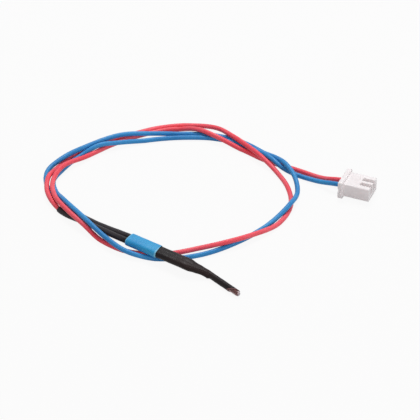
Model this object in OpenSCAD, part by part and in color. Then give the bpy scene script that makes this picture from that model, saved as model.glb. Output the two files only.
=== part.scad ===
// Temperature probe on two loosely twisted leads with a two-way plug, lying loose on a table.
// Frame: table at z = 0, origin under the middle of the probe's box, probe tip along +X.
// All sizes are millimetres.

/* [Leads] */
// Outside diameter of each insulated lead
lead_d = 1.5; // [1.4:0.1:1.5]
// Diameter of the bared strands at either end of a lead
strand_d = 0.6; // [0.5:0.1:0.7]
// Length of bared strands in a splice
splice_strand_l = 4; // [3:0.5:5]

/* [Splice sleeves] */
// Outside diameter of the black sleeve over each lead's splice
splice_d = 1.9; // [1.9:0.1:2]
// How far the red lead's sleeve runs inside the outer sleeve
splice_red_in = 19.5; // [17:0.5:20]
// How far the blue lead's sleeve runs inside the outer sleeve
splice_blue_in = 18; // [16:0.5:20]
// Length of each crimped ferrule
ferrule_l = 5; // [4:0.5:6]
// Wall of each crimped ferrule
ferrule_wall = 0.25; // [0.2:0.05:0.3]

/* [Outer sleeve] */
// Wall of the shrunk film, in every sleeve
film = 0.15; // [0.1:0.05:0.15]
// Length of the wide oval stretch that holds both splice sleeves
wide_l = 20.6; // [20.2:0.2:21.4]
// Outside diameter of the thin stretch that holds the bead
tip_d = 2; // [1.9:0.1:2.2]
// Length of the thin stretch, up to the end of its tongue
tip_l = 12.3; // [12:0.1:13]
// Length of the slanted mouth that bares the bead
mouth_l = 5.1; // [4:0.1:6]
// How far the slanted mouth faces down from level
mouth_tilt = 20; // [0:5:40]

/* [Marker band] */
// Length of the blue band
band_l = 10.5; // [8:0.5:12]

/* [Bead] */
// Length of the glass bead
bead_l = 4.4; // [4:0.1:4.6]
// Diameter of each bead wire
bead_wire_d = 0.25; // [0.2:0.05:0.3]
// Outside diameter of the liner on each bead wire
liner_d = 0.6; // [0.5:0.05:0.65]
// Length of the thermistor chip
chip_l = 0.6; // [0.4:0.1:0.8]

/* [Plug] */
// Distance between the two circuits
pitch = 2.5; // [2.5:0.04:2.54]
// Length of the plug housing, from the wire end to the mating end
plug_l = 9.6; // [9.4:0.1:10]
// Width of the plug's body across the circuits
body_w = 7.2; // [7:0.1:7.6]
// Height of the plug's body
body_h = 4.4; // [4.3:0.1:4.7]
// Width of the flange at the wire end
flange_w = 9; // [8.8:0.1:9.4]
// Height of the flange
flange_h = 5.75; // [5.55:0.1:5.95]
// Thickness of the flange
flange_t = 1.4; // [1.2:0.1:1.6]
// Length of the lock slots in the top of the body
slot_l = 3.6; // [3:0.1:4]
// Width of each lock slot
slot_w = 1.4; // [1.2:0.1:1.6]
// Thickness of the contacts' sheet metal
sheet = 0.2; // [0.15:0.05:0.25]

/* [Hidden] */

$fn = 48;
tiny = 0.01;
through = 30;

// Clearances
film_gap = 0.05;
slip_gap = 0.03;

// Side of the probe's axis on which each circuit lies
red_side = -1;
blue_side = 1;

// Sleeves
splice_bore = splice_d - 2 * film;
splice_pitch = splice_d + film_gap;
wide_bore = splice_d + 2 * film_gap;
wide_d = wide_bore + 2 * film;
band_bore = wide_d + 2 * film_gap;
band_d = band_bore + 2 * film;
tip_bore = tip_d - 2 * film;

// Wide stretch: it lies across both leads, turned a little from the tip
wide_turn = 13;
wide_along = [cos(wide_turn), sin(wide_turn), 0];
wide_across = [-sin(wide_turn), cos(wide_turn), 0];
wide_start = [-5.2, -1.7, lead_d + film_gap + band_d / 2];
wide_end = wide_start + wide_l * wide_along;
outer_start = 0.4;

// Lap of the shoulder's skin over the bars that it joins
lap = 0.03;
lap_l = 0.3;

// Tip: it rests on the table
tip_start = [21, 6, tip_d / 2 + lap];
tip_end = tip_start + [tip_l, 0, 0];

// Steps of the shoulder, where the film closes over the end of each splice sleeve
first_step = [17.4, 4.1, 2.2];
first_turn = 24;
first_dip = 12;
first_reach = 0.6;
second_step = [20, 5.4, 1.4];
second_turn = 24;
second_dip = 14;
second_reach = 0.25;
second_across = [-sin(second_turn), cos(second_turn), 0];
shoulder_sides = 32;

// Splices, measured from the band's lead end
lead_in = 1;
ferrule_at = 2;
ferrule_bore = strand_d + 2 * slip_gap;
ferrule_d = ferrule_bore + 2 * ferrule_wall;
strands_end = lead_in + splice_strand_l;
wire_at = strands_end + 0.1;
liner_at = ferrule_at + ferrule_l + 0.1;
wires_close = 2;

// Bead
bead_d = tip_bore - 2 * film_gap;
bead_end = tip_end.x + 0.4;
bead_start = bead_end - bead_l;
liner_pitch = liner_d + 2 * slip_gap;
liner_bore = bead_wire_d + 2 * slip_gap;
liner_end = bead_start - 0.2;
chip_end = bead_end - 1;
chip_w = liner_pitch - bead_wire_d;
chip_h = 0.5;

// Plug
plug_at = [15.9, 64.8, flange_h / 2];
plug_turn = 25;
plug_along = [cos(plug_turn), sin(plug_turn), 0];
plug_across = [-sin(plug_turn), cos(plug_turn), 0];
body_round = 0.3;
flange_round = 0.7;
notch_d = 1.2;
cavity_w = 2;
cavity_h = 2.3;
front_wall = 0.8;
pin_entry = 1.2;

// Contact, measured from the plug's wire end
insulation_crimp_at = 0.6;
insulation_crimp_l = 1.6;
lead_plug_in = insulation_crimp_at + insulation_crimp_l + 0.1;
wire_crimp_at = 3;
wire_crimp_l = 1.4;
plug_strands_end = wire_crimp_at + wire_crimp_l + 0.2;
box_at = 5;
box_end = plug_l - front_wall - slip_gap;
box_w = cavity_w - 0.3;
box_h = 1.9;
strip_w = 1.2;
contact_floor = -cavity_h / 2 + slip_gap;
lance_w = 0.8;
lance_l = 1.8;
lance_lift = 24;

// Sweeps
cuts = 2;
mouth_point = 2;
lead_sides = 8;
sleeve_sides = 12;
wire_sides = 6;

// Route of each lead from the band to the plug, over and under the other one
red_route = [
    [-22, -4.8, 1.5], [-33, -6, 1], [-41.5, -3.7, 2], [-46.5, 0.7, 2.35], [-50.2, 7.3, 0.9],
    [-52.3, 15.5, 0.75], [-52, 25, 0.75], [-49.3, 35.2, 0.75], [-46, 45.2, 0.75], [-40.5, 53.2, 0.75],
    [-33, 57.6, 1.6], [-25.5, 57.5, 2.4], [-18, 57.1, 2.5], [-11.3, 56.6, 2.25], [-3.7, 55.8, 0.9],
    [5, 52.5, 0.75], [12, 46.8, 0.75], [16, 38, 0.75], [15.9, 27.5, 1.8], [14.2, 19.6, 2.35],
    [10.6, 12.8, 1.6], [4.3, 2.6, 0.75], [-3.7, -4.3, 0.75], [-13, -6.5, 0.75], [-21, -6.5, 2.25],
    [-29, -6.1, 3], [-37.5, -4, 2.7], [-44, 0.5, 2.35], [-48.3, 8, 2.35], [-48.8, 17, 1.2],
    [-48.6, 30, 0.75], [-45.8, 41, 0.75], [-41.5, 49, 0.75], [-35.5, 52, 2.35], [-29.5, 53.6, 2.25],
    [-20.5, 56.1, 0.75], [-10, 57.8, 0.75], [0, 61.4, 0.75], [8.5, 63.7, 1.2]
];
blue_route = [
    [-22, -2.9, 1], [-33.6, -3.9, 1], [-43.5, -1.8, 0.75], [-51, 4.5, 1.3], [-51.7, 10.6, 2.35],
    [-51.7, 20, 2.3], [-48.7, 33, 2.45], [-44.5, 39.8, 1.8], [-39, 47.8, 0.75], [-31, 55.3, 0.75],
    [-25, 58.4, 0.75], [-14, 60, 0.75], [-8.5, 60, 1.8], [-3, 58.8, 3], [2, 57.4, 2.4],
    [8.2, 53.3, 1.3], [13, 45.2, 2.45], [14.3, 37, 1], [14.7, 24, 0.75], [11.5, 9.5, 0.75],
    [4.4, -0.6, 0.75], [-2.7, -5.2, 1.75], [-12, -6.1, 2.7], [-21, -5.5, 3.6], [-34, -3.5, 3],
    [-41, -0.9, 1], [-46, 2.3, 0.75], [-48.6, 8, 0.75], [-50.5, 16.5, 0.9], [-49.5, 22.8, 2.45],
    [-47.1, 29.5, 1.75], [-43.7, 37, 0.75], [-37, 47, 0.75], [-29, 54.6, 0.75], [-17, 58.4, 1.3],
    [-8.5, 58.1, 2.35], [-3.5, 58.3, 1.3], [8, 61.3, 1.1]
];

// Place on the probe's wide stretch, and place in the plug
function splice_point(along, side) = wide_start + along * wide_along + side * splice_pitch / 2 * wide_across;
function plug_point(along, side) = plug_at + along * plug_along + side * pitch / 2 * plug_across;

// Slope of a smooth curve through the points p at point i, leaving along first and arriving along last
function slope(p, i, first, last) =
    i == 0 ? first
    : i == len(p) - 1 ? last
    : let (before = norm(p[i] - p[i - 1]), after = norm(p[i + 1] - p[i]))
        ((p[i + 1] - p[i]) * before / after + (p[i] - p[i - 1]) * after / before) / (before + after);

// Place on that curve a share t of the way from point i to the next
function between(p, i, t, first, last) =
    let (gap = norm(p[i + 1] - p[i]))
    p[i] * (2 * t ^ 3 - 3 * t ^ 2 + 1)
    + slope(p, i, first, last) * gap * (t ^ 3 - 2 * t ^ 2 + t)
    + p[i + 1] * (3 * t ^ 2 - 2 * t ^ 3)
    + slope(p, i + 1, first, last) * gap * (t ^ 3 - t ^ 2);

function curve(p, first, last) = concat(
    [for (i = [0 : len(p) - 2]) for (k = [0 : cuts - 1]) between(p, i, k / cuts, first, last)],
    [p[len(p) - 1]]
);

// Curve of a lead from the band to the plug, never below the table
function lead_curve(route, side) = [
    for (q = curve(concat([splice_point(0, side)], route, [plug_point(0, -side)]), -wide_along, plug_along))
        [q.x, q.y, max(q.z, lead_d / 2)]
];

// Curve of a bead wire from its ferrule, through the shoulder, to the bead
function wire_curve(start, end, side) = concat(
    [splice_point(start, side)],
    curve(
        [splice_point(wide_l - wires_close, side), second_step + side * liner_pitch / 2 * second_across,
            tip_start + [0, side * liner_pitch / 2, 0]],
        wide_along, [1, 0, 0]
    ),
    [[end, tip_start.y + side * liner_pitch / 2, tip_start.z]]
);

// Ring of corners around point i of a path
function ring(path, i, radius, sides) =
    let (
        along = path[min(i + 1, len(path) - 1)] - path[max(i - 1, 0)],
        level = cross(along, [0, 0, 1]),
        across = level / norm(level),
        up = cross(across, along) / norm(along)
    )
    [for (k = [0 : sides - 1]) path[i] + radius * (across * cos(360 * k / sides) + up * sin(360 * k / sides))];

function rings(path, radius, sides) = [for (i = [0 : len(path) - 1]) each ring(path, i, radius, sides)];

// Triangles of the wall between neighbouring rings, the first corner being number from
function wall(count, sides, from = 0, flip = false) = [
    for (i = [0 : count - 2]) for (k = [0 : sides - 1])
        let (
            a = from + i * sides + k,
            b = from + i * sides + (k + 1) % sides
        )
        each (flip
            ? [[a, b + sides, b], [a, a + sides, b + sides]]
            : [[a, b, b + sides], [a, b + sides, a + sides]])
];

// Solid skinned over a row of rings of corners
module skin(corners, sides) {
    count = len(corners) / sides;
    last = (count - 1) * sides;
    polyhedron(
        corners,
        concat(
            [[for (k = [sides - 1 : -1 : 0]) k]],
            wall(count, sides),
            [[for (k = [0 : sides - 1]) last + k]]
        )
    );
}

// Solid rod along a path
module sweep(path, d, sides) {
    skin(rings(path, d / 2, sides), sides);
}

// Open tube along a path
module sweep_tube(path, d, bore, sides) {
    count = len(path);
    inner = count * sides;
    last = (count - 1) * sides;
    polyhedron(
        concat(rings(path, d / 2, sides), rings(path, bore / 2, sides)),
        concat(
            wall(count, sides),
            wall(count, sides, inner, true),
            [
                for (k = [0 : sides - 1])
                    let (n = (k + 1) % sides)
                    each [[n, k, inner + k], [n, inner + k, inner + n],
                        [last + k, last + n, inner + last + n], [last + k, inner + last + n, inner + last + k]]
            ]
        )
    );
}

// Oval section for two sleeves side by side
module oval(d) {
    square([splice_pitch, d], center = true);
    for (side = [red_side, blue_side])
        translate([side * splice_pitch / 2, 0])
            circle(d = d);
}

// Oval bar along the wide stretch, from and to measured from the band's lead end
module wide_bar(d, from, to) {
    translate(wide_start + from * wide_along)
        rotate([90, 0, wide_turn + 90])
            linear_extrude(to - from)
                oval(d);
}

// Round bar along one of the two splices
module splice_bar(d, from, to, side) {
    translate(splice_point(from, side))
        rotate([0, 90, wide_turn])
            cylinder(d = d, h = to - from);
}

// Round bar along the tip's axis
module tip_bar(d, from, to) {
    translate([from, tip_start.y, tip_start.z])
        rotate([0, 90, 0])
            cylinder(d = d, h = to - from);
}

// Corners of an oval section of the shoulder, reach being half the straight run between its round ends
function shoulder_section(center, turn, dip, reach, radius) =
    let (
        across = [sin(turn), -cos(turn), 0],
        up = [cos(turn) * sin(dip), sin(turn) * sin(dip), cos(dip)]
    )
    [
        for (k = [0 : shoulder_sides - 1])
            let (a = 360 * (k + 0.5) / shoulder_sides)
            center + across * (sign(cos(a)) * reach + radius * cos(a)) + up * radius * sin(a)
    ];

// Shoulder between the wide stretch and the tip, lapped over both and thinner by inset all round
module shoulder(inset) {
    wide_r = wide_d / 2 + lap - inset;
    tip_r = tip_d / 2 + lap - inset;
    skin(
        concat(
            shoulder_section(wide_end - lap_l * wide_along, wide_turn, 0, splice_pitch / 2, wide_r),
            shoulder_section(wide_end, wide_turn, 0, splice_pitch / 2, wide_r),
            shoulder_section(first_step, first_turn, first_dip, first_reach, wide_r),
            shoulder_section(second_step, second_turn, second_dip, second_reach, (wide_r + tip_r) / 2),
            shoulder_section(tip_start, 0, 0, 0, tip_r),
            shoulder_section(tip_start + [lap_l, 0, 0], 0, 0, 0, tip_r)
        ),
        shoulder_sides
    );
}

// Outer form of the sleeve, thinner by inset all round
module sleeve_form(inset) {
    wide_bar(wide_d - 2 * inset, outer_start - inset, wide_l);
    shoulder(inset);
    tip_bar(tip_d - 2 * inset, tip_start.x, tip_end.x + inset);
}

module outer_sleeve() {
    color([0.2, 0.19, 0.2])
        difference() {
            sleeve_form(0);
            sleeve_form(film);
            slanted_mouth();
        }
}

// Space cut away by the slanted mouth, which leaves a tongue behind the bead
module slanted_mouth() {
    translate([tip_end.x - mouth_l, tip_start.y, tip_start.z])
        rotate([mouth_tilt, 0, 0])
            translate([0, -tip_d / 2, 0])
                rotate([0, 0, atan(tip_d / mouth_l)])
                    translate([0, -through, -through / 2])
                        cube(through);
}

module marker_band() {
    color([0.25, 0.58, 0.78])
        difference() {
            wide_bar(band_d, 0, band_l);
            wide_bar(band_bore, -tiny, band_l + tiny);
        }
}

// Splice sleeve: straight inside the outer sleeve, then along the lead to its open mouth
module splice_sleeve(route, side, inside) {
    path = lead_curve(route, side);
    sweep_tube(
        concat([splice_point(inside, side)], [for (i = [0 : mouth_point * cuts]) path[i]]),
        splice_d, splice_bore, sleeve_sides
    );
}

module sleeve_red() {
    color([0.14, 0.13, 0.14])
        splice_sleeve(red_route, red_side, splice_red_in);
}

module sleeve_blue() {
    color([0.14, 0.13, 0.14])
        splice_sleeve(blue_route, blue_side, splice_blue_in);
}

// Insulated lead from its splice to its contact
module lead(route, side) {
    sweep(
        concat([splice_point(lead_in, side)], lead_curve(route, side), [plug_point(lead_plug_in, -side)]),
        lead_d, lead_sides
    );
}

module lead_red() {
    color([0.82, 0.22, 0.26])
        lead(red_route, red_side);
}

module lead_blue() {
    color([0.2, 0.48, 0.75])
        lead(blue_route, blue_side);
}

// Bared strands of a lead in its splice
module splice_strands(side) {
    color([0.85, 0.83, 0.8])
        splice_bar(strand_d, lead_in, strands_end, side);
}

module strands_red_splice() {
    splice_strands(red_side);
}

module strands_blue_splice() {
    splice_strands(blue_side);
}

// Crimped ferrule that joins a lead's strands to a bead wire
module ferrule(side) {
    color([0.75, 0.75, 0.77])
        difference() {
            splice_bar(ferrule_d, ferrule_at, ferrule_at + ferrule_l, side);
            splice_bar(ferrule_bore, ferrule_at - tiny, ferrule_at + ferrule_l + tiny, side);
        }
}

module ferrule_red() {
    ferrule(red_side);
}

module ferrule_blue() {
    ferrule(blue_side);
}

module bead_wire(side) {
    color([0.8, 0.78, 0.74])
        sweep(wire_curve(wire_at, chip_end, side), bead_wire_d, wire_sides);
}

module bead_wire_red() {
    bead_wire(red_side);
}

module bead_wire_blue() {
    bead_wire(blue_side);
}

module liner(side) {
    color([0.9, 0.9, 0.88])
        sweep_tube(wire_curve(liner_at, liner_end, side), liner_d, liner_bore, lead_sides);
}

module liner_red() {
    liner(red_side);
}

module liner_blue() {
    liner(blue_side);
}

// Thermistor chip between the two bead wires
module thermistor_chip() {
    color([0.2, 0.2, 0.22])
        translate([chip_end - chip_l, tip_start.y - chip_w / 2, tip_start.z - chip_h / 2])
            cube([chip_l, chip_w, chip_h]);
}

// Glass bead, round at both ends, sealed around the chip and its wires
module bead_glass() {
    color([0.45, 0.22, 0.18])
        difference() {
            translate([bead_start, tip_start.y, tip_start.z])
                rotate([0, 90, 0])
                    rotate_extrude()
                        half_bead();
            for (side = [red_side, blue_side])
                translate([0, side * liner_pitch / 2, 0])
                    tip_bar(bead_wire_d, bead_start - 1, chip_end);
            thermistor_chip();
        }
}

// Half section of the bead, its axis on the left
module half_bead() {
    intersection() {
        union() {
            for (z = [bead_d / 2, bead_l - bead_d / 2])
                translate([0, z])
                    circle(d = bead_d);
            translate([0, bead_d / 2])
                square([bead_d / 2, bead_l - bead_d]);
        }
        square([bead_d, bead_l]);
    }
}

// Frame of the plug: x from the wire end to the mating end, y across the circuits
module in_plug() {
    translate(plug_at)
        rotate([0, 0, plug_turn])
            children();
}

// Plate across the plug with the given outline, from and to measured from the wire end
module plug_plate(from, to) {
    translate([from, 0, 0])
        rotate([90, 0, 90])
            linear_extrude(to - from)
                children();
}

module rounded_outline(w, h, r) {
    square([w - 2 * r, h], center = true);
    square([w, h - 2 * r], center = true);
    for (x = [-1, 1])
        for (y = [-1, 1])
            translate([x * (w / 2 - r), y * (h / 2 - r)])
                circle(r = r);
}

// Block in one circuit's cavity, low and high being opposite corners
module circuit_block(side, low, high) {
    translate([low.x, side * pitch / 2 + low.y, low.z])
        cube(high - low);
}

module connector_housing() {
    color([0.93, 0.92, 0.91])
        in_plug()
            difference() {
                union() {
                    plug_plate(0, plug_l)
                        rounded_outline(body_w, body_h, body_round);
                    plug_plate(0, flange_t)
                        difference() {
                            rounded_outline(flange_w, flange_h, flange_round);
                            for (side = [-1, 1])
                                translate([side * flange_w / 2, 0])
                                    circle(d = notch_d);
                        }
                }
                for (side = [-1, 1]) {
                    circuit_block(side, [-1, -cavity_w / 2, -cavity_h / 2],
                        [plug_l - front_wall, cavity_w / 2, cavity_h / 2]);
                    circuit_block(side, [0, -pin_entry / 2, -pin_entry / 2],
                        [plug_l + 1, pin_entry / 2, pin_entry / 2]);
                    circuit_block(side, [plug_l - slot_l, -slot_w / 2, 0],
                        [plug_l + 1, slot_w / 2, body_h]);
                }
            }
}

// Crimp barrel around a lead's axis
module barrel(side, from, length, bore) {
    translate([from, side * pitch / 2, 0])
        rotate([0, 90, 0])
            difference() {
                cylinder(d = bore + 2 * sheet, h = length);
                translate([0, 0, -tiny])
                    cylinder(d = bore, h = length + 2 * tiny);
            }
}

// Crimp contact: socket box with a lock lance, floor strip and two barrels
module contact(side) {
    wire_bore = strand_d + 2 * slip_gap;
    color([0.82, 0.8, 0.74])
        in_plug() {
            difference() {
                circuit_block(side, [box_at, -box_w / 2, contact_floor],
                    [box_end, box_w / 2, contact_floor + box_h]);
                circuit_block(side, [box_at - 1, sheet - box_w / 2, contact_floor + sheet],
                    [box_end + 1, box_w / 2 - sheet, contact_floor + box_h - sheet]);
            }
            difference() {
                union() {
                    circuit_block(side, [insulation_crimp_at, -strip_w / 2, contact_floor],
                        [box_at + sheet, strip_w / 2, contact_floor + sheet]);
                    circuit_block(side, [insulation_crimp_at, -sheet, contact_floor],
                        [insulation_crimp_at + insulation_crimp_l, sheet, 0]);
                    circuit_block(side, [wire_crimp_at, -sheet, contact_floor],
                        [wire_crimp_at + wire_crimp_l, sheet, 0]);
                }
                translate([0, side * pitch / 2, 0])
                    rotate([0, 90, 0])
                        cylinder(d = lead_d + sheet, h = insulation_crimp_at + insulation_crimp_l + tiny);
                translate([0, side * pitch / 2, 0])
                    rotate([0, 90, 0])
                        cylinder(d = wire_bore + sheet, h = box_at);
            }
            barrel(side, insulation_crimp_at, insulation_crimp_l, lead_d);
            barrel(side, wire_crimp_at, wire_crimp_l, wire_bore);
            translate([box_end - 0.8, side * pitch / 2 - lance_w / 2, contact_floor + box_h - sheet])
                rotate([0, lance_lift, 180])
                    translate([0, -lance_w, 0])
                        cube([lance_l, lance_w, sheet]);
        }
}

module contact_red() {
    contact(-red_side);
}

module contact_blue() {
    contact(-blue_side);
}

// Bared strands of a lead in its contact
module plug_strands(side) {
    color([0.85, 0.83, 0.8])
        in_plug()
            translate([lead_plug_in, side * pitch / 2, 0])
                rotate([0, 90, 0])
                    cylinder(d = strand_d, h = plug_strands_end - lead_plug_in);
}

module strands_red_plug() {
    plug_strands(-red_side);
}

module strands_blue_plug() {
    plug_strands(-blue_side);
}

connector_housing();
contact_red();
contact_blue();
strands_red_plug();
strands_blue_plug();
lead_red();
lead_blue();
sleeve_red();
sleeve_blue();
marker_band();
outer_sleeve();
strands_red_splice();
strands_blue_splice();
ferrule_red();
ferrule_blue();
bead_wire_red();
bead_wire_blue();
liner_red();
liner_blue();
bead_glass();
thermistor_chip();
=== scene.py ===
import math

import bmesh
import bpy
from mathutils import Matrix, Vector, noise

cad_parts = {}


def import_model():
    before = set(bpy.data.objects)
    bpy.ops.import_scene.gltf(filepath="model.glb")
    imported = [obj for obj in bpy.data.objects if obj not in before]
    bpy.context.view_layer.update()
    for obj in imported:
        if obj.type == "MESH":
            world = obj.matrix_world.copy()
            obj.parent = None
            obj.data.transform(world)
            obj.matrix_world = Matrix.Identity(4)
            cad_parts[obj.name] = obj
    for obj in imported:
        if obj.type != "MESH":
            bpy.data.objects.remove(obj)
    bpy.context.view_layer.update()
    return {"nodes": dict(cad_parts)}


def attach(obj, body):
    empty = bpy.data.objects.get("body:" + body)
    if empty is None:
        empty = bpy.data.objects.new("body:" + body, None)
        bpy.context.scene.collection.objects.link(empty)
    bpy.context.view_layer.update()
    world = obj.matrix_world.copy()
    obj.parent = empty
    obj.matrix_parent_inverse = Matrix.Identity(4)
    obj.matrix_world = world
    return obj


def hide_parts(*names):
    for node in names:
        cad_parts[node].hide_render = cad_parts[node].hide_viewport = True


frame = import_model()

scene = bpy.context.scene
MM = 0.001

# ---- sizes and routes of the CAD model, in millimetres ----

LEAD_D = 1.5
SLEEVE_D, SLEEVE_BORE = 1.9, 1.6
PITCH = 1.95
WIDE_D, BAND_D, TIP_D, FILM = 2.3, 2.7, 2.0, 0.15
WIDE_START, WIDE_TURN, WIDE_L = Vector((-5.2, -1.7, 2.9)), 13, 20.6
BAND_L = 10.5
TIP_START, MOUTH_TILT = Vector((21, 6, 1.03)), 20
BEAD_END, BEAD_L, BEAD_R = 33.7, 4.4, 0.8
PLUG_AT, PLUG_TURN, PLUG_PITCH = Vector((15.9, 64.8, 2.875)), 25, 2.5
RED, BLUE = -1, 1

RED_ROUTE = [
    (-22, -4.8, 1.5), (-33, -6, 1), (-41.5, -3.7, 2), (-46.5, 0.7, 2.35), (-50.2, 7.3, 0.9),
    (-52.3, 15.5, 0.75), (-52, 25, 0.75), (-49.3, 35.2, 0.75), (-46, 45.2, 0.75), (-40.5, 53.2, 0.75),
    (-33, 57.6, 1.6), (-25.5, 57.5, 2.4), (-18, 57.1, 2.5), (-11.3, 56.6, 2.25), (-3.7, 55.8, 0.9),
    (5, 52.5, 0.75), (12, 46.8, 0.75), (16, 38, 0.75), (15.9, 27.5, 1.8), (14.2, 19.6, 2.35),
    (10.6, 12.8, 1.6), (4.3, 2.6, 0.75), (-3.7, -4.3, 0.75), (-13, -6.5, 0.75), (-21, -6.5, 2.25),
    (-29, -6.1, 3), (-37.5, -4, 2.7), (-44, 0.5, 2.35), (-48.3, 8, 2.35), (-48.8, 17, 1.2),
    (-48.6, 30, 0.75), (-45.8, 41, 0.75), (-41.5, 49, 0.75), (-35.5, 52, 2.35), (-29.5, 53.6, 2.25),
    (-20.5, 56.1, 0.75), (-10, 57.8, 0.75), (0, 61.4, 0.75), (8.5, 63.7, 1.2),
]
BLUE_ROUTE = [
    (-22, -2.9, 1), (-33.6, -3.9, 1), (-43.5, -1.8, 0.75), (-51, 4.5, 1.3), (-51.7, 10.6, 2.35),
    (-51.7, 20, 2.3), (-48.7, 33, 2.45), (-44.5, 39.8, 1.8), (-39, 47.8, 0.75), (-31, 55.3, 0.75),
    (-25, 58.4, 0.75), (-14, 60, 0.75), (-8.5, 60, 1.8), (-3, 58.8, 3), (2, 57.4, 2.4),
    (8.2, 53.3, 1.3), (13, 45.2, 2.45), (14.3, 37, 1), (14.7, 24, 0.75), (11.5, 9.5, 0.75),
    (4.4, -0.6, 0.75), (-2.7, -5.2, 1.75), (-12, -6.1, 2.7), (-21, -5.5, 3.6), (-34, -3.5, 3),
    (-41, -0.9, 1), (-46, 2.3, 0.75), (-48.6, 8, 0.75), (-50.5, 16.5, 0.9), (-49.5, 22.8, 2.45),
    (-47.1, 29.5, 1.75), (-43.7, 37, 0.75), (-37, 47, 0.75), (-29, 54.6, 0.75), (-17, 58.4, 1.3),
    (-8.5, 58.1, 2.35), (-3.5, 58.3, 1.3), (8, 61.3, 1.1),
]

# ---- sizes that are only the skins' own, in millimetres ----

# the outer film ends 0.4 sooner than its solid, with a mouth that is shorter by 1.7
FILM_END, MOUTH_L = 32.9, 3.4
MOUTH_X = FILM_END - MOUTH_L
# how far a lead goes on past its route, in the outer film and in the plug
LEAD_IN_FILM, LEAD_IN_PLUG = 1, 2.3
# where each splice sleeve starts, inside the outer film
SLEEVE_RED_START, SLEEVE_BLUE_START = 19.5, 18
SLEEVE_ROW = 0.45
EDGE_ROUND = 0.26
# how far a film's rounded cut end reaches back
LIP, LIP_BROAD = 0.14, 0.2
# how deep the groove between the two splices is, as a share of the film's height
BAND_GROOVE, FILM_GROOVE = 0.045, 0.1
# what presses through the outer film: place along it, breadth and height
PRESSES = ((21.5, 0.8, 0.08), (24.6, 1.2, -0.13), (27.2, 0.5, 0.25))
# how far each row of the mouth is on its way to the cut, and how much it is rounded over
MOUTH_ROWS = ((0.2, 0), (0.42, 0), (0.64, 0), (0.84, 0), (0.96, 0.015), (1.0, 0.06))


def heading(turn, dip=0.0):
    """Unit vector turned from +X about the vertical and dipped below level."""
    t, d = math.radians(turn), math.radians(dip)
    return Vector((math.cos(t) * math.cos(d), math.sin(t) * math.cos(d), -math.sin(d)))


WIDE_ALONG = heading(WIDE_TURN)
WIDE_ACROSS = heading(WIDE_TURN + 90)
PLUG_ALONG = heading(PLUG_TURN)
PLUG_ACROSS = heading(PLUG_TURN + 90)


def wide_point(along):
    return WIDE_START + along * WIDE_ALONG


def splice_point(along, side):
    return wide_point(along) + side * PITCH / 2 * WIDE_ACROSS


def plug_point(along, side):
    return PLUG_AT + along * PLUG_ALONG + side * PLUG_PITCH / 2 * PLUG_ACROSS


def slope(p, i, first, last):
    if i == 0:
        return first
    if i == len(p) - 1:
        return last
    before, after = (p[i] - p[i - 1]).length, (p[i + 1] - p[i]).length
    return ((p[i + 1] - p[i]) * before / after + (p[i] - p[i - 1]) * after / before) / (before + after)


def smooth(points, first, last, cuts):
    """Smooth curve through the points, leaving along first and arriving along last."""
    p, out = [Vector(q) for q in points], []
    for i in range(len(p) - 1):
        gap = (p[i + 1] - p[i]).length
        m0, m1 = slope(p, i, first, last) * gap, slope(p, i + 1, first, last) * gap
        for k in range(cuts):
            t = k / cuts
            out.append(p[i] * (2 * t**3 - 3 * t**2 + 1) + m0 * (t**3 - 2 * t**2 + t)
                       + p[i + 1] * (3 * t**2 - 2 * t**3) + m1 * (t**3 - t**2))
    out.append(p[-1])
    return out


def lead_curve(route, side, cuts):
    """Middle line of a lead, from its splice to the plug, never lower than the table lets it lie."""
    curve = smooth([splice_point(0, side), *route, plug_point(0, -side)], -WIDE_ALONG, PLUG_ALONG, cuts)
    return [Vector((q.x, q.y, max(q.z, LEAD_D / 2))) for q in curve]


# ---- camera ----

camera = bpy.data.objects.new("camera", bpy.data.cameras.new("camera"))
scene.collection.objects.link(camera)
scene.camera = camera
camera.data.lens = 200
camera.data.sensor_width = 36
camera.data.clip_start = 0.05
camera.data.clip_end = 20
camera.location = Vector((417.3, -350.7, 411.5)) * MM
aim = Vector((-3.5, 28.2, 0)) * MM
camera.rotation_mode = "QUATERNION"
camera.rotation_quaternion = (aim - camera.location).to_track_quat("-Z", "Y")


# ---- finishes ----

def linear(r, g, b):
    """Shader colour of an eight-bit screen colour."""
    return tuple(c / 12.92 if c <= 0.04045 else ((c + 0.055) / 1.055) ** 2.4
                 for c in (r / 255, g / 255, b / 255)) + (1.0,)


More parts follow.
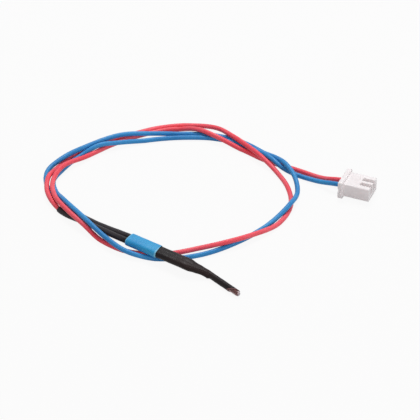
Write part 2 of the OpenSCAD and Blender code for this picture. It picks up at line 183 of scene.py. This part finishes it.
class Finish:
    """A node material whose colour, roughness and bump all vary over the surface."""

    def __init__(self, name, **sockets):
        self.mat = bpy.data.materials.new(name)
        self.mat.use_nodes = True
        self.tree = self.mat.node_tree
        self.shader = self.tree.nodes["Principled BSDF"]
        for key, value in sockets.items():
            self.shader.inputs[key.replace("_", " ")].default_value = value
        self.coord = self.node("ShaderNodeTexCoord")
        self.height = None

    def node(self, kind, **values):
        n = self.tree.nodes.new(kind)
        for key, value in values.items():
            setattr(n, key, value)
        return n

    def link(self, a, b):
        self.tree.links.new(a, b)

    def place(self, source="Object", scale=(1, 1, 1), turn=(0, 0, 0)):
        mapping = self.node("ShaderNodeMapping")
        mapping.inputs["Scale"].default_value = scale
        mapping.inputs["Rotation"].default_value = [math.radians(a) for a in turn]
        self.link(self.coord.outputs[source], mapping.inputs["Vector"])
        return mapping.outputs["Vector"]

    def noise(self, scale, detail=3.0, rough=0.5, source="Object",
              stretch=(1, 1, 1), distort=0.0, turn=(0, 0, 0)):
        n = self.node("ShaderNodeTexNoise")
        n.inputs["Scale"].default_value = scale
        n.inputs["Detail"].default_value = detail
        n.inputs["Roughness"].default_value = rough
        n.inputs["Distortion"].default_value = distort
        self.link(self.place(source, stretch, turn), n.inputs["Vector"])
        return n.outputs["Fac"]

    def ramp(self, value, low, high, to_low=0.0, to_high=1.0):
        n = self.node("ShaderNodeMapRange")
        for key, number in (("From Min", low), ("From Max", high), ("To Min", to_low), ("To Max", to_high)):
            n.inputs[key].default_value = number
        self.link(value, n.inputs["Value"])
        return n.outputs["Result"]

    def mix(self, factor, a, b):
        n = self.node("ShaderNodeMix", data_type="RGBA")
        self.link(factor, n.inputs["Factor"])
        for socket, value in ((n.inputs[6], a), (n.inputs[7], b)):
            if isinstance(value, tuple):
                socket.default_value = value
            else:
                self.link(value, socket)
        return n.outputs[2]

    def patched(self, base, patches):
        """Lays each patch's colour over the base, up to its share.

        It comes in between two parallel planes, which stand square to the patch's
        normal, start and stop away along it from the origin, in millimetres.
        """
        for normal, start, stop, share, colour in patches:
            along = self.node("ShaderNodeVectorMath", operation="DOT_PRODUCT")
            self.link(self.coord.outputs["Object"], along.inputs[0])
            along.inputs[1].default_value = normal / MM
            base = self.mix(self.ramp(along.outputs["Value"], start, stop, 0.0, share), base, colour)
        return base

    def colour(self, output):
        self.link(output, self.shader.inputs["Base Color"])

    def rough(self, value, low, high):
        self.link(self.ramp(value, 0.3, 0.7, low, high), self.shader.inputs["Roughness"])

    def bump(self, value, depth_mm, strength=1.0):
        """Adds a bump of that depth; several calls stack up."""
        n = self.node("ShaderNodeBump")
        n.inputs["Strength"].default_value = strength
        n.inputs["Distance"].default_value = depth_mm * MM
        self.link(value, n.inputs["Height"])
        if self.height is not None:
            self.link(self.height, n.inputs["Normal"])
        self.height = n.outputs["Normal"]
        self.link(self.height, self.shader.inputs["Normal"])
        return self


def insulation(name, light, mid, dark):
    """Extruded lead insulation: satin, with faint lines along it, a little scuffed and dusty."""
    f = Finish(name, IOR=1.5, Specular_IOR_Level=0.26)
    clouds = f.noise(90, 3)
    lines = f.noise(1.0, 4, source="UV", stretch=(26, 1.3, 1))
    scuffs = f.noise(520, 5, 0.65)
    base = f.mix(f.ramp(clouds, 0.35, 0.68), mid, light)
    base = f.mix(f.ramp(lines, 0.52, 0.85, 0.0, 0.5), base, dark)
    f.colour(base)
    f.rough(scuffs, 0.3, 0.48)
    f.bump(lines, 0.02, 0.5).bump(f.noise(2600, 2), 0.004, 0.6)
    return f.mat


def shrunk_film(name, light, mid, dark, warm, cool, low, high, shine, patches):
    """Heat-shrunk film: satin, unevenly tinted, with fine drag lines along it and soft creases round it. Its warm
    and cool patches lie at random, and on the black film they are painted reflections.
    """
    f = Finish(name, IOR=1.5, Specular_IOR_Level=shine)
    clouds = f.noise(160, 4)
    lines = f.noise(1.0, 5, 0.6, source="UV", stretch=(34, 1.6, 1), distort=0.4)
    creases = f.noise(1.0, 3, 0.5, source="UV", stretch=(3, 14, 1), distort=0.8)
    base = f.mix(f.ramp(clouds, 0.36, 0.66), mid, light)
    # warm and cool patches laid at random; on the black film they are painted reflections
    base = f.mix(f.ramp(f.noise(75, 2), 0.42, 0.62, 0.0, 0.85), base, warm)
    base = f.mix(f.ramp(f.noise(120, 2, turn=(30, 0, 40)), 0.54, 0.7, 0.0, 0.8), base, cool)
    base = f.mix(f.ramp(lines, 0.5, 0.8, 0.0, 0.6), base, dark)
    f.colour(f.patched(base, patches))
    f.rough(f.noise(700, 5, 0.6), low, high)
    f.bump(creases, 0.05, 0.45).bump(lines, 0.025, 0.5).bump(f.noise(3200, 2), 0.005, 0.6)
    return f.mat


def moulded(name, light, mid, shade):
    """Moulded plug plastic: fine spark texture, soft flow marks, a few rubbed spots."""
    f = Finish(name, IOR=1.46, Specular_IOR_Level=0.35, Subsurface_Weight=0.3,
               Subsurface_Radius=(0.0016, 0.0015, 0.0015), Subsurface_Scale=1.0)
    flow = f.noise(210, 4, stretch=(0.5, 1, 1), distort=0.8, turn=(0, 0, PLUG_TURN))
    grain = f.noise(5200, 2)
    rubs = f.noise(800, 6, 0.7)
    base = f.mix(f.ramp(flow, 0.38, 0.64), mid, light)
    base = f.mix(f.ramp(rubs, 0.62, 0.8, 0.0, 0.5), base, shade)
    f.colour(base)
    f.rough(rubs, 0.36, 0.55)
    f.bump(grain, 0.004, 0.4).bump(flow, 0.02, 0.35)
    return f.mat


def metal(name, light, dark):
    """Plated metal: rolled lines, clouded plating, handling marks."""
    f = Finish(name, Metallic=1.0)
    clouds = f.noise(900, 4)
    drawn = f.noise(1.0, 4, 0.6, stretch=(400, 5200, 5200), turn=(0, 0, -PLUG_TURN))
    f.colour(f.mix(f.ramp(clouds, 0.35, 0.68), dark, light))
    f.rough(drawn, 0.3, 0.52)
    f.bump(drawn, 0.006, 0.6).bump(clouds, 0.01, 0.4)
    return f.mat


def stranded(name, light, dark):
    """Bared strands laid side by side with a slow twist."""
    f = Finish(name, Metallic=1.0)
    wave = f.node("ShaderNodeTexWave", wave_type="BANDS", bands_direction="Y")
    wave.inputs["Scale"].default_value = 1.0
    wave.inputs["Distortion"].default_value = 0.6
    f.link(f.place("Object", (900, 1400, 1400), (0, 0, 20)), wave.inputs["Vector"])
    clouds = f.noise(1500, 3)
    f.colour(f.mix(f.ramp(clouds, 0.35, 0.7), dark, light))
    f.rough(clouds, 0.22, 0.4)
    f.bump(wave.outputs["Fac"], 0.05, 0.8)
    return f.mat


def sealed_glass(name, light, dark, patches):
    """Tinted glass with faint swirls and a wavy fire-polished skin."""
    f = Finish(name, IOR=1.52, Transmission_Weight=0.55)
    swirl = f.noise(700, 3, distort=1.5)
    f.colour(f.patched(f.mix(f.ramp(swirl, 0.3, 0.7), dark, light), patches))
    f.rough(f.noise(1600, 2), 0.03, 0.12)
    f.bump(swirl, 0.02, 0.4)
    return f.mat


def ceramic(name, light, dark):
    """Sintered chip: dark, matte and grainy."""
    f = Finish(name, IOR=1.6)
    grain = f.noise(6000, 3)
    f.colour(f.mix(f.ramp(grain, 0.35, 0.65), light, dark))
    f.rough(grain, 0.55, 0.8)
    f.bump(grain, 0.01, 0.8)
    return f.mat


# the plane that the outer film's slanted cut lies in
CUT_SLOPE = MOUTH_L / TIP_D
CUT_ACROSS = Vector((0, math.cos(math.radians(MOUTH_TILT)), math.sin(math.radians(MOUTH_TILT))))
CUT_NORMAL = Vector((1, 0, 0)) - CUT_SLOPE * CUT_ACROSS
CUT_AT = MOUTH_X + MOUTH_L / 2 - CUT_SLOPE * CUT_ACROSS.dot(TIP_START)
# a painted pinkish reflection on the black film, just behind its slanted cut
CUT_RIM_REFLECTION = (CUT_NORMAL, CUT_AT - 0.45, CUT_AT - 0.15, 0.8, linear(150, 112, 112))
# the splice sleeves are greyer where they leave the marker band
SLEEVE_GREY = (Vector((-1, 0, 0)), 5.5, 8, 0.75, linear(60, 56, 61))
# the marker band has a painted highlight at both cut ends
BAND_AT = WIDE_START.dot(WIDE_ALONG)
BAND_CUT_HIGHLIGHT = linear(140, 208, 236)
BAND_FAR_END_HIGHLIGHT = (WIDE_ALONG, BAND_AT + BAND_L - 0.45, BAND_AT + BAND_L - 0.15, 0.8, BAND_CUT_HIGHLIGHT)
BAND_NEAR_END_HIGHLIGHT = (-WIDE_ALONG, -BAND_AT - 0.1, -BAND_AT + 0.25, 0.8, BAND_CUT_HIGHLIGHT)
# the bead has a painted pale sheen along its near, lower side and a painted highlight on its end
BEAD_SIDE_SHEEN = (Vector((0, -1, -0.7)), -6.15, -5.9, 1.0, linear(246, 206, 210))
BEAD_TIP_HIGHLIGHT = (Vector((1, 0.45, 0.15)), 36.0, 36.2, 1.0, linear(255, 244, 252))

RED_PVC = insulation("red_insulation", linear(252, 106, 120), linear(246, 76, 92), linear(192, 30, 48))
BLUE_PVC = insulation("blue_insulation", linear(62, 154, 218), linear(42, 131, 198), linear(14, 76, 136))
# the black film's warm and cool patches are painted reflections, and so is its patch at the cut
BLACK_FILM = shrunk_film(
    "black_film", light=linear(38, 33, 35), mid=linear(25, 22, 24), dark=linear(11, 10, 11),
    warm=linear(44, 32, 31), cool=linear(28, 30, 44), low=0.26, high=0.44, shine=0.12,
    patches=[CUT_RIM_REFLECTION, SLEEVE_GREY])
BAND_FILM = shrunk_film(
    "blue_film", light=linear(55, 168, 224), mid=linear(43, 155, 213), dark=linear(26, 127, 188),
    warm=linear(50, 160, 211), cool=linear(36, 143, 207), low=0.34, high=0.52, shine=0.3,
    patches=[BAND_FAR_END_HIGHLIGHT, BAND_NEAR_END_HIGHLIGHT])
PLUG_PLASTIC = moulded("plug_plastic", linear(249, 244, 246), linear(247, 240, 242), linear(238, 230, 231))
CONTACT_METAL = metal("contact_metal", linear(232, 228, 224), linear(206, 202, 198))
STRANDS = stranded("wire_metal", linear(216, 210, 200), linear(170, 160, 148))
LINER = insulation("white_liner", linear(240, 224, 218), linear(232, 214, 208), linear(198, 178, 172))
# the bead's colour carries a painted sheen and a painted highlight
GLASS = sealed_glass("bead_glass", linear(136, 58, 56), linear(92, 30, 28), [BEAD_SIDE_SHEEN, BEAD_TIP_HIGHLIGHT])
CHIP = ceramic("chip", linear(70, 66, 68), linear(38, 36, 38))


# ---- building ----

def corner_angle(k, sides, shift=0.0):
    return 2 * math.pi * (k + shift) / sides


def ring(path, i, radius, sides, wobble):
    """Corners round point i of a path, the first one level with it."""
    along = path[min(i + 1, len(path) - 1)] - path[max(i - 1, 0)]
    across = along.cross(Vector((0, 0, 1))).normalized()
    up = across.cross(along).normalized()
    out = []
    for k in range(sides):
        a = corner_angle(k, sides)
        out.append(path[i] + (radius + wobble(i, a)) * (across * math.cos(a) + up * math.sin(a)))
    return out


def lengths(path):
    """How far along the path each of its points lies."""
    out = [0.0]
    for a, b in zip(path, path[1:]):
        out.append(out[-1] + (b - a).length)
    return out


def refined(path, step):
    """The same line with a point about every step."""
    out = []
    for a, b in zip(path, path[1:]):
        count = max(1, round((b - a).length / step))
        out += [a.lerp(b, k / count) for k in range(count)]
    return out + [path[-1]]


def skinned(name, at, outer, inner=None):
    """Mesh over rows of corners, open inside where inner rows are given.

    Its UVs run round it, and along it by the lengths in at, in millimetres.
    """
    bm = bmesh.new()
    uv = bm.loops.layers.uv.new("UVMap")
    sides = len(outer[0])

    def rows(rings):
        return [[bm.verts.new(q * MM) for q in r] for r in rings]

    def wall(rings, flip):
        for i in range(len(rings) - 1):
            for k in range(sides):
                n = (k + 1) % sides
                quad = [(rings[i][k], k, i), (rings[i][n], k + 1, i),
                        (rings[i + 1][n], k + 1, i + 1), (rings[i + 1][k], k, i + 1)]
                if flip:
                    quad.reverse()
                face = bm.faces.new([v for v, _, _ in quad])
                for loop, (_, u, j) in zip(face.loops, quad):
                    loop[uv].uv = (u / sides, at[j])
                face.smooth = True

    out = rows(outer)
    wall(out, False)
    if inner:
        into = rows(inner)
        wall(into, True)
        for end, flip in ((0, True), (len(out) - 1, False)):
            for k in range(sides):
                n = (k + 1) % sides
                quad = [out[end][k], out[end][n], into[end][n], into[end][k]]
                face = bm.faces.new(quad[::-1] if flip else quad)
                face.smooth = True
    else:
        bm.faces.new(out[0][::-1])
        bm.faces.new(out[-1])
    bmesh.ops.recalc_face_normals(bm, faces=bm.faces)
    mesh = bpy.data.meshes.new(name)
    bm.to_mesh(mesh)
    bm.free()
    piece = bpy.data.objects.new(name, mesh)
    scene.collection.objects.link(piece)
    return piece


def dress(piece, mat, node):
    piece.data.materials.clear()
    piece.data.materials.append(mat)
    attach(piece, "root")
    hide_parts(node)


# ---- plug housing ----

def plug_housing():
    """The CAD housing with its moulded edge rounds."""
    source = frame["nodes"]["connector_housing"]
    piece = bpy.data.objects.new("plug_housing", source.data.copy())
    scene.collection.objects.link(piece)
    bm = bmesh.new()
    bm.from_mesh(piece.data)
    bmesh.ops.remove_doubles(bm, verts=bm.verts, dist=2e-6)
    bmesh.ops.dissolve_limit(bm, angle_limit=math.radians(1.0), verts=bm.verts, edges=bm.edges)
    bm.to_mesh(piece.data)
    bm.free()
    bevel = piece.modifiers.new("rounds", "BEVEL")
    bevel.width = EDGE_ROUND * MM
    bevel.segments = 3
    bevel.limit_method = "ANGLE"
    bevel.angle_limit = math.radians(40)
    bevel.harden_normals = False
    bevel.use_clamp_overlap = True
    piece.data.shade_smooth()
    dress(piece, PLUG_PLASTIC, "connector_housing")
    return piece


# ---- cords ----

def lead(name, route, side, mat, node):
    """Insulation of one lead, with a slight waver."""
    path = [splice_point(LEAD_IN_FILM, side), *lead_curve(route, side, 8), plug_point(LEAD_IN_PLUG, -side)]
    run = lengths(path)
    seed = 11.0 * side

    def wobble(i, a):
        p = path[i]
        return 0.012 * noise.noise(Vector((p.x * 0.22 + seed, p.y * 0.22, math.sin(a) * 0.6)))

    piece = skinned(name, run, [ring(path, i, LEAD_D / 2, 16, wobble) for i in range(len(path))])
    dress(piece, mat, node)


housing = plug_housing()
lead("lead_red_skin", RED_ROUTE, RED, RED_PVC, "lead_red")
lead("lead_blue_skin", BLUE_ROUTE, BLUE, BLUE_PVC, "lead_blue")


# ---- films ----

def lip(at_end, depth=LIP):
    """How much thinner a film is near its rounded cut end."""
    if at_end >= depth:
        return 0.0
    t = 1 - at_end / depth
    return FILM / 2 * (1 - math.sqrt(max(0.0, 1 - t * t)))


def splice_sleeve(name, route, side, start, node):
    """Film over one lead's splice, from inside the outer film to its mouth at the route's second point."""
    cuts, sides = 16, 28
    path = refined([splice_point(start, side), *lead_curve(route, side, cuts)[:2 * cuts + 1]], SLEEVE_ROW)
    end, back = path[-1], (path[-2] - path[-1]).normalized()
    path[-1:] = [end + back * 0.12, end + back * 0.06, end + back * 0.02, end]
    run = lengths(path)
    seed = Vector((side * 7.0, 3.0, 5.0))

    def wobble(i, a):
        s = run[i]
        free = min(1.0, max(0.0, (s - start - 1) / 3))
        swell = 0.035 * noise.noise(Vector((s * 0.35, math.cos(a), math.sin(a))) + seed)
        crease = 0.02 * noise.noise(Vector((s * 1.1, 2.2 * math.cos(a), 2.2 * math.sin(a))) + seed)
        return (swell + crease) * free - lip(run[-1] - s)

    def bore(i, a):
        return lip(run[-1] - run[i])

    outer = [ring(path, i, SLEEVE_D / 2, sides, wobble) for i in range(len(path))]
    inner = [ring(path, i, SLEEVE_BORE / 2, sides, bore) for i in range(len(path))]
    dress(skinned(name, run, outer, inner), BLACK_FILM, node)


def section(centre, turn, dip, reach, radius, sides, shape, groove):
    """Corners of an oval section, reach being half the straight run between its round ends.

    A groove runs along the middle of it, a little to one side.
    """
    t, d = math.radians(turn), math.radians(dip)
    across = Vector((math.sin(t), -math.cos(t), 0))
    up = Vector((math.cos(t) * math.sin(d), math.sin(t) * math.sin(d), math.cos(d)))
    flat = max(0.0, min(1.0, reach / (PITCH / 2)))
    aside, spread = 0.15, 0.45
    out = []
    for k in range(sides):
        a = corner_angle(k, sides, 0.5)
        r = radius + shape(a)
        x = r * math.cos(a) + reach * max(-1.0, min(1.0, 1.6 * math.cos(a)))
        waist = 1 - groove * flat * math.exp(-((x - aside) / spread) ** 2)
        out.append(centre + across * x + up * (r * math.sin(a) * waist))
    return out


def marker_band():
    """Blue film over the start of the outer film, with softly waved cut ends."""
    sides, rows = 56, 34
    outer, inner, at = [], [], []

    def wave(corners, s):
        """Moves the cut ends out: the far one aslant, the near one all round."""
        far = s > BAND_L / 2
        pull = 1.0 if far else -1.0
        near = abs(2 * s / BAND_L - 1)
        out = []
        for k, q in enumerate(corners):
            a = corner_angle(k, sides, 0.5)
            d = 0.1 * noise.noise(Vector((pull * 4, 1.1 * math.cos(a), 1.1 * math.sin(a))))
            d += 0.3 * math.cos(a) - 0.1 if far else 0.3
            out.append(q + WIDE_ALONG * (pull * d * near ** 6))
        return out

    for j in range(rows):
        s = BAND_L * (0.5 - 0.5 * math.cos(math.pi * j / (rows - 1)))
        thinner = lip(min(s, BAND_L - s), LIP_BROAD)

        def shape(a, s=s, thinner=thinner):
            n = Vector((s * 0.5, 1.3 * math.cos(a), 1.3 * math.sin(a)))
            return 0.03 * noise.noise(n) + 0.012 * noise.noise(n * 3.1) - thinner

        def bore(a, thinner=thinner):
            return thinner

        oval = (wide_point(s), WIDE_TURN, 0, PITCH / 2)
        outer.append(wave(section(*oval, BAND_D / 2, sides, shape, BAND_GROOVE), s))
        inner.append(wave(section(*oval, BAND_D / 2 - FILM, sides, bore, BAND_GROOVE), s))
        at.append(s)
    dress(skinned("marker_film", at, outer, inner), BAND_FILM, "marker_band")


def film_rows():
    """Centre, turn, dip, reach and radius of each of the outer film's sections, up to its mouth."""
    keys = [(wide_point(s), WIDE_TURN, 0, PITCH / 2, WIDE_D / 2) for s in (0.4, 5, 11, 17)] + [
        (wide_point(WIDE_L), WIDE_TURN, 0, PITCH / 2, WIDE_D / 2 + 0.03),
        (Vector((17.4, 4.1, 2.2)), 24, 12, 0.52, WIDE_D / 2 - 0.02),
        (Vector((20, 5.4, 1.4)), 24, 14, 0.2, (WIDE_D + TIP_D) / 4),
        (TIP_START + Vector((0.6, 0, 0)), 4, 0, 0, TIP_D / 2 + 0.01),
        (TIP_START + Vector((2, 0, 0)), 0, 0, 0, TIP_D / 2),
    ]
    cuts = 14
    rows = []
    for i, centre in enumerate(smooth([k[0] for k in keys], WIDE_ALONG, Vector((1, 0, 0)), cuts)):
        j = min(i // cuts, len(keys) - 2)
        t = i / cuts - j
        t = t * t * (3 - 2 * t)
        rows.append([centre, *(a * (1 - t) + b * t for a, b in zip(keys[j][1:], keys[j + 1][1:]))])
    # the straight thin end, up to where its mouth starts
    last, steps = keys[-1][0].x, (0.5, 1.1, 1.8, 2.6, 3.4, 4.2, 5.0, 5.7)
    for x in steps:
        along = last + x * (MOUTH_X - last) / steps[-1]
        rows.append([Vector((along, TIP_START.y, TIP_START.z)), 0, 0, 0, TIP_D / 2])
    return rows


def press(s, a):
    """Ends of the splice sleeves and a fold, pressed through the film on its lower side."""
    low = max(0.0, math.cos(a - math.radians(-40)))
    return low * sum(height * math.exp(-((s - place) / breadth) ** 2) for place, breadth, height in PRESSES)


def slanted_mouth(rings, spread):
    """Adds the rows of the mouth, each side of which ends where the slanted cut reaches it.

    The last rows draw in or out, by the sign of spread, to round the cut edge.
    """
    base = rings[-1]
    for share, rounded in MOUTH_ROWS:
        row = []
        for q in base:
            y, z = q.y - TIP_START.y, q.z - TIP_START.z
            v = Vector((0, y, z)).dot(CUT_ACROSS)
            ragged = 0.1 * noise.noise(Vector((y * 1.7, z * 1.7, 9.0)))
            x = MOUTH_X + max(0.05, MOUTH_L * (v + TIP_D / 2) / TIP_D + ragged) * share
            size = 1 + spread * rounded
            row.append(Vector((x, TIP_START.y + y * size, TIP_START.z + z * size)))
        rings.append(row)


def outer_film():
    """Black film: oval over the splices, stepping down over their ends, round over the bead."""
    sides = 64
    rows = film_rows()
    at = lengths([r[0] for r in rows])
    outer, inner = [], []
    for (centre, turn, dip, reach, radius), s in zip(rows, at):
        def shape(a, s=s):
            n = Vector((s * 0.45, 1.2 * math.cos(a), 1.2 * math.sin(a)))
            swell = 0.035 * noise.noise(n) + 0.014 * noise.noise(n * 3.3)
            bare = max(0.0, min(1.0, (s - BAND_L) / 2))
            return swell * bare + press(s, a) - lip(s, LIP_BROAD)

        def bore(a, s=s):
            return press(s, a)

        outer.append(section(centre, turn, dip, reach, radius, sides, shape, FILM_GROOVE))
        inner.append(section(centre, turn, dip, reach, radius - FILM, sides, bore, FILM_GROOVE))
    slanted_mouth(outer, -1)
    slanted_mouth(inner, 0.8)
    at += [at[-1] + MOUTH_L * share for share, _ in MOUTH_ROWS]
    dress(skinned("outer_film", at, outer, inner), BLACK_FILM, "outer_sleeve")


# ---- bead ----

def glass_bead():
    """Sealed glass: round at its tip, necked where the wires go in."""
    neck, cap = 0.75, 0.85
    steps, sides = 26, 32
    rows, at = [], []
    for i in range(steps + 1):
        x = BEAD_L * (0.5 - 0.5 * math.cos(math.pi * i / steps))
        r = BEAD_R
        if x < neck:
            r = BEAD_R * math.sqrt(max(0.0, 1 - ((neck - x) / neck) ** 2)) * 0.9 + 0.05
        elif x > BEAD_L - cap:
            r = BEAD_R * math.sqrt(max(0.0, 1 - ((x - BEAD_L + cap) / cap) ** 2))
        r = max(0.03, min(BEAD_R, r))
        rows.append([Vector((BEAD_END - BEAD_L + x, TIP_START.y + r * math.cos(a), TIP_START.z + r * math.sin(a)))
                     for a in (corner_angle(k, sides) for k in range(sides))])
        at.append(x)
    dress(skinned("glass_bead", at, rows), GLASS, "bead_glass")


splice_sleeve("splice_film_red", RED_ROUTE, RED, SLEEVE_RED_START, "sleeve_red")
splice_sleeve("splice_film_blue", BLUE_ROUTE, BLUE, SLEEVE_BLUE_START, "sleeve_blue")
marker_band()
outer_film()
glass_bead()

# ---- CAD nodes that stay ----

for names, mat in (
    (("contact_red", "contact_blue", "ferrule_red", "ferrule_blue"), CONTACT_METAL),
    (("strands_red_plug", "strands_blue_plug", "strands_red_splice", "strands_blue_splice",
      "bead_wire_red", "bead_wire_blue"), STRANDS),
    (("liner_red", "liner_blue"), LINER),
    (("thermistor_chip",), CHIP),
):
    for name in names:
        node = frame["nodes"][name]
        node.data.materials.clear()
        node.data.materials.append(mat)


# ---- floor, world and lamps ----

PAPER = (0.66, 0.66, 0.66, 1)
WHITE = (1, 1, 1, 1)
WHITE_SHARE = 0.92
AMBIENT = 0.26


def background_rays(tree):
    """1 for the rays that see the white background, and 0 for those that light the object."""
    rays = tree.nodes.new("ShaderNodeLightPath")
    seen = rays.outputs["Is Camera Ray"]
    for kind in ("Is Glossy Ray", "Is Transmission Ray"):
        either = tree.nodes.new("ShaderNodeMath")
        either.operation = "MAXIMUM"
        tree.links.new(seen, either.inputs[0])
        tree.links.new(rays.outputs[kind], either.inputs[1])
        seen = either.outputs[0]
    return seen


def table():
    """Pale floor: nearly white where it is seen, with part of its shading left for the shadow."""
    mesh = bpy.data.meshes.new("table")
    half = 1.5
    mesh.from_pydata([(-half, -half, 0), (half, -half, 0), (half, half, 0), (-half, half, 0)], [], [(0, 1, 2, 3)])
    floor = bpy.data.objects.new("table", mesh)
    scene.collection.objects.link(floor)
    mat = bpy.data.materials.new("table")
    mat.use_nodes = True
    tree = mat.node_tree
    tree.nodes.clear()
    out = tree.nodes.new("ShaderNodeOutputMaterial")
    paper = tree.nodes.new("ShaderNodeBsdfDiffuse")
    paper.inputs["Color"].default_value = PAPER
    glow = tree.nodes.new("ShaderNodeEmission")
    glow.inputs["Color"].default_value = WHITE
    glow.inputs["Strength"].default_value = 1.0
    share = tree.nodes.new("ShaderNodeMath")
    share.operation = "MULTIPLY"
    share.inputs[1].default_value = WHITE_SHARE
    tree.links.new(background_rays(tree), share.inputs[0])
    blend = tree.nodes.new("ShaderNodeMixShader")
    tree.links.new(share.outputs[0], blend.inputs["Fac"])
    tree.links.new(paper.outputs[0], blend.inputs[1])
    tree.links.new(glow.outputs[0], blend.inputs[2])
    tree.links.new(blend.outputs[0], out.inputs["Surface"])
    mesh.materials.append(mat)


def world():
    """White where it is seen, and a weak even light on the object."""
    w = bpy.data.worlds.new("studio")
    scene.world = w
    w.use_nodes = True
    tree = w.node_tree
    sky = tree.nodes["Background"]
    sky.inputs["Color"].default_value = WHITE
    strength = tree.nodes.new("ShaderNodeMapRange")
    strength.inputs["To Min"].default_value = AMBIENT
    strength.inputs["To Max"].default_value = 1.0
    tree.links.new(background_rays(tree), strength.inputs["Value"])
    tree.links.new(strength.outputs["Result"], sky.inputs["Strength"])


def lamp(name, at, size, power, colour=(1, 1, 1)):
    light = bpy.data.lights.new(name, "AREA")
    light.shape = "SQUARE"
    light.size = size
    light.energy = power
    light.color = colour
    o = bpy.data.objects.new(name, light)
    scene.collection.objects.link(o)
    o.location = at
    o.rotation_mode = "QUATERNION"
    o.rotation_quaternion = (Vector((0, 0.03, 0)) - o.location).to_track_quat("-Z", "Y")


table()
world()
lamp("key", Vector((-0.25, 0.3, 0.75)), 0.35, 4.25)
lamp("fill", Vector((0.45, -0.4, 0.5)), 0.4, 1.1, (1.0, 0.88, 0.85))
lamp("side", Vector((0.78, 0.3, 0.3)), 0.25, 1.2)

scene.view_settings.view_transform = "Standard"
